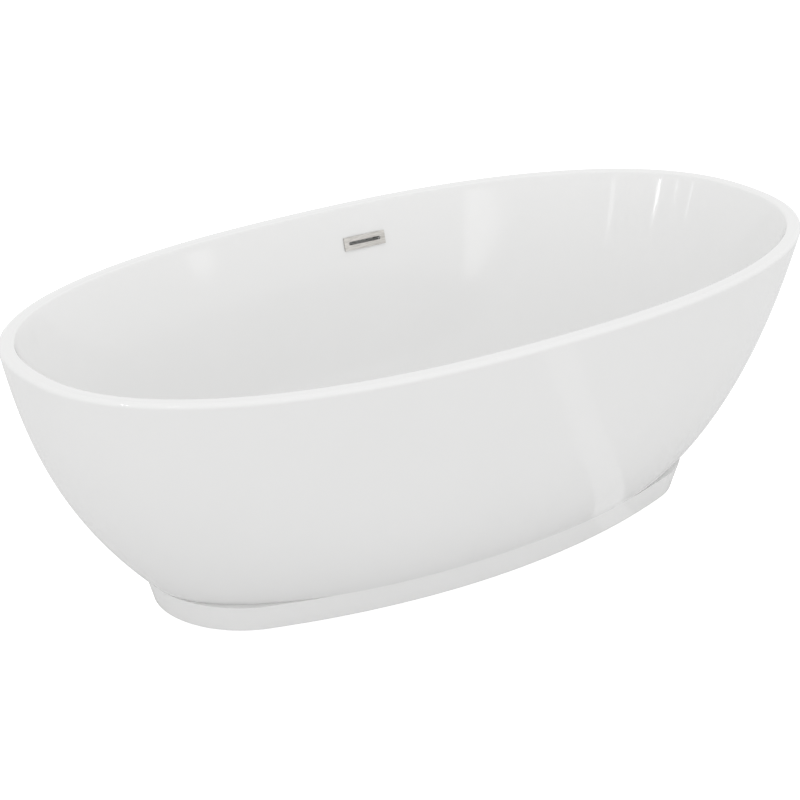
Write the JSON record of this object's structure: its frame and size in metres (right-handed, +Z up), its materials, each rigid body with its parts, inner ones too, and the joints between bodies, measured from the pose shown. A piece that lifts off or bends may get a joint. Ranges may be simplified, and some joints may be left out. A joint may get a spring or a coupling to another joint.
{
  "type": "freestanding bathtub",
  "caption": "Oval double-ended freestanding bath: white acrylic basin and outer shell on a low plinth, slot overflow, push plug, steel frame with levelling feet.",
  "frame": {"origin": "centre of the footprint, on the floor the feet stand on", "axes": "+X along the bath, +Y towards the wall that holds the overflow, +Z up"},
  "size_m": [1.7002, 0.8673, 0.54],
  "materials": {
    "acrylic": "high gloss white sanitary acrylic",
    "steel_plate": "fine brushed stainless",
    "chrome": "polished",
    "zinc_steel": "zinc plated",
    "board": "raw particle board, sealed edges",
    "white_pp": "moulded satin",
    "grey_pp": "moulded satin",
    "black_cap": "moulded satin",
    "rubber": "matte",
    "brass": "machined",
    "spring_steel": "bright drawn wire"
  },
  "bodies": {
    "tub": {"base_board_left": "board", "base_board_right": "board", "bracket_bolts": "zinc_steel", "foot_lock_nuts": "zinc_steel", "foot_weld_nuts": "zinc_steel", "frame_cross_left": "zinc_steel", "frame_cross_middle": "zinc_steel", "frame_cross_right": "zinc_steel", "frame_rail_front": "zinc_steel", "frame_rail_rear": "zinc_steel", "hose_clips": "zinc_steel", "inner_basin": "acrylic", "outer_shell": "acrylic", "outlet_nut": "white_pp", "outlet_pipe": "white_pp", "outlet_seal": "rubber", "overflow_body": "white_pp", "overflow_gasket": "rubber", "overflow_hose": "grey_pp", "overflow_nuts": "zinc_steel", "overflow_plate": "steel_plate", "overflow_rear_seal": "rubber", "plinth_brackets": "zinc_steel", "plinth_ring": "acrylic", "plug_guide": "brass", "plug_spring": "spring_steel", "rail_end_caps": "black_cap", "trap_body": "white_pp", "trap_cleaning_plug": "grey_pp", "trap_nut": "white_pp", "trap_seal": "rubber", "waste_body": "white_pp", "waste_flange": "chrome", "waste_lower_seal": "rubber", "waste_upper_seal": "rubber"},
    "plug": {"plug_cap": "chrome", "plug_seal": "rubber", "plug_stem": "brass"},
    "foot_1": {"foot_pad_1": "black_cap"},
    "rod_1": {"foot_rod_1": "zinc_steel"},
    "foot_2": {"foot_pad_2": "black_cap"},
    "rod_2": {"foot_rod_2": "zinc_steel"},
    "foot_3": {"foot_pad_3": "black_cap"},
    "rod_3": {"foot_rod_3": "zinc_steel"},
    "foot_4": {"foot_pad_4": "black_cap"},
    "rod_4": {"foot_rod_4": "zinc_steel"},
    "foot_5": {"foot_pad_5": "black_cap"},
    "rod_5": {"foot_rod_5": "zinc_steel"}
  },
  "joints": [
    {"name": "plug_lift", "type": "slide", "parent": "tub", "child": "plug", "axis": [0, 0, 1], "range_m": [0, 0.01], "deforming": ["plug_spring"]},
    {"name": "foot_1_height", "type": "slide", "parent": "tub", "child": "foot_1", "axis": [0, 0, -1], "range_m": [0, 0.015]},
    {"name": "rod_1_turn", "type": "hinge", "parent": "foot_1", "child": "rod_1", "pos_m": [-0.4, -0.15, 0.05], "axis": [0, 0, -1], "range_deg": [0, 3086]},
    {"name": "foot_2_height", "type": "slide", "parent": "tub", "child": "foot_2", "axis": [0, 0, -1], "range_m": [0, 0.015]},
    {"name": "rod_2_turn", "type": "hinge", "parent": "foot_2", "child": "rod_2", "pos_m": [-0.4, 0.15, 0.05], "axis": [0, 0, -1], "range_deg": [0, 3086]},
    {"name": "foot_3_height", "type": "slide", "parent": "tub", "child": "foot_3", "axis": [0, 0, -1], "range_m": [0, 0.015]},
    {"name": "rod_3_turn", "type": "hinge", "parent": "foot_3", "child": "rod_3", "pos_m": [0.4, -0.15, 0.05], "axis": [0, 0, -1], "range_deg": [0, 3086]},
    {"name": "foot_4_height", "type": "slide", "parent": "tub", "child": "foot_4", "axis": [0, 0, -1], "range_m": [0, 0.015]},
    {"name": "rod_4_turn", "type": "hinge", "parent": "foot_4", "child": "rod_4", "pos_m": [0.4, 0.15, 0.05], "axis": [0, 0, -1], "range_deg": [0, 3086]},
    {"name": "foot_5_height", "type": "slide", "parent": "tub", "child": "foot_5", "axis": [0, 0, -1], "range_m": [0, 0.015]},
    {"name": "rod_5_turn", "type": "hinge", "parent": "foot_5", "child": "rod_5", "pos_m": [-0.2, 0, 0.05], "axis": [0, 0, -1], "range_deg": [0, 3086]}
  ],
  "couplings": [
    {"joint": "rod_1_turn", "follows": "foot_1_height", "rad_per_m": 3590.4},
    {"joint": "rod_2_turn", "follows": "foot_2_height", "rad_per_m": 3590.4},
    {"joint": "rod_3_turn", "follows": "foot_3_height", "rad_per_m": 3590.4},
    {"joint": "rod_4_turn", "follows": "foot_4_height", "rad_per_m": 3590.4},
    {"joint": "rod_5_turn", "follows": "foot_5_height", "rad_per_m": 3590.4}
  ]
}
